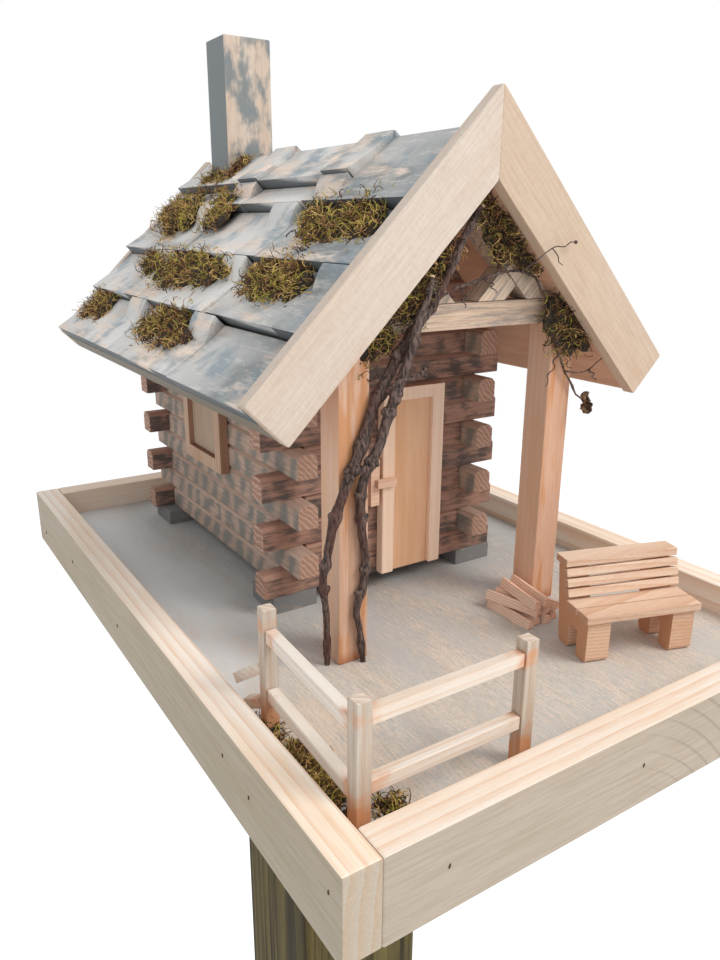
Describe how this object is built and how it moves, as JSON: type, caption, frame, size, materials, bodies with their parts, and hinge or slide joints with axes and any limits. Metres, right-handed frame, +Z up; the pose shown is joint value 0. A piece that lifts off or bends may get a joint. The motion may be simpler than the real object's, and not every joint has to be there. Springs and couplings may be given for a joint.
{
  "type": "log-cabin bird feeder on a post",
  "caption": "Post-mounted wooden bird feeder: a railed tray carrying a miniature log cabin with porch, hinged door, shingle roof, chimney, rail fence and bench.",
  "frame": {"origin": "middle of the ground post's foot, at ground level", "axes": "+Z up along the post, the cabin's door faces -Y, +X to the right of the door"},
  "size_m": [0.308, 0.4525, 1.2513],
  "materials": {
    "post_wood": "weathered",
    "tray_paint": "worn grey paint",
    "rail_wood": "sawn",
    "block_paint": "grey paint",
    "log_wood": "stained and dry-brushed",
    "window_wood": "sanded",
    "window_panel_wood": "sanded",
    "door_wood": "sanded",
    "door_panel_wood": "sanded",
    "latch_wood": "sanded",
    "porch_wood": "planed",
    "truss_wood": "worn paint",
    "roof_board": "bare",
    "shingle_paint": "dry-brushed paint",
    "barge_wood": "sawn",
    "chimney_paint": "worn paint",
    "fence_wood": "bare",
    "bench_wood": "bare",
    "stick_wood": "split",
    "vine_bark": "bark"
  },
  "bodies": {
    "feeder": {"ground_post": "post_wood", "tray_floor": "tray_paint", "left_rail": "rail_wood", "right_rail": "rail_wood", "front_rail": "rail_wood", "back_rail": "rail_wood", "corner_blocks": "block_paint", "left_wall": "log_wood", "right_wall": "log_wood", "back_wall": "log_wood", "front_wall_left": "log_wood", "front_wall_right": "log_wood", "front_wall_over": "log_wood", "left_window_frame": "window_wood", "right_window_frame": "window_wood", "left_window_panel": "window_panel_wood", "right_window_panel": "window_panel_wood", "latch_keeper": "latch_wood", "left_porch_post": "porch_wood", "right_porch_post": "porch_wood", "porch_tie_beam": "truss_wood", "porch_rafters": "truss_wood", "porch_struts": "truss_wood", "left_roof_deck": "roof_board", "right_roof_deck": "roof_board", "left_shingles": "shingle_paint", "right_shingles": "shingle_paint", "front_left_barge": "barge_wood", "front_right_barge": "barge_wood", "back_left_barge": "barge_wood", "back_right_barge": "barge_wood", "chimney": "chimney_paint", "fence_posts": "fence_wood", "fence_rails": "fence_wood", "broken_rails": "fence_wood", "bench_ends": "bench_wood", "bench_seat_slats": "bench_wood", "bench_back_slats": "bench_wood", "firewood": "stick_wood", "vine_left_stem": "vine_bark", "vine_right_stem": "vine_bark", "vine_branch": "vine_bark"},
    "door": {"door_left_stile": "door_wood", "door_right_stile": "door_wood", "door_head_rail": "door_wood", "door_panel": "door_panel_wood", "latch_bar": "latch_wood"}
  },
  "joints": [
    {"name": "door_hinge", "type": "hinge", "parent": "feeder", "child": "door", "pos_m": [0.063, -0.0299, 0.9314], "axis": [0, 0, 1], "range_deg": [0, 100]}
  ]
}
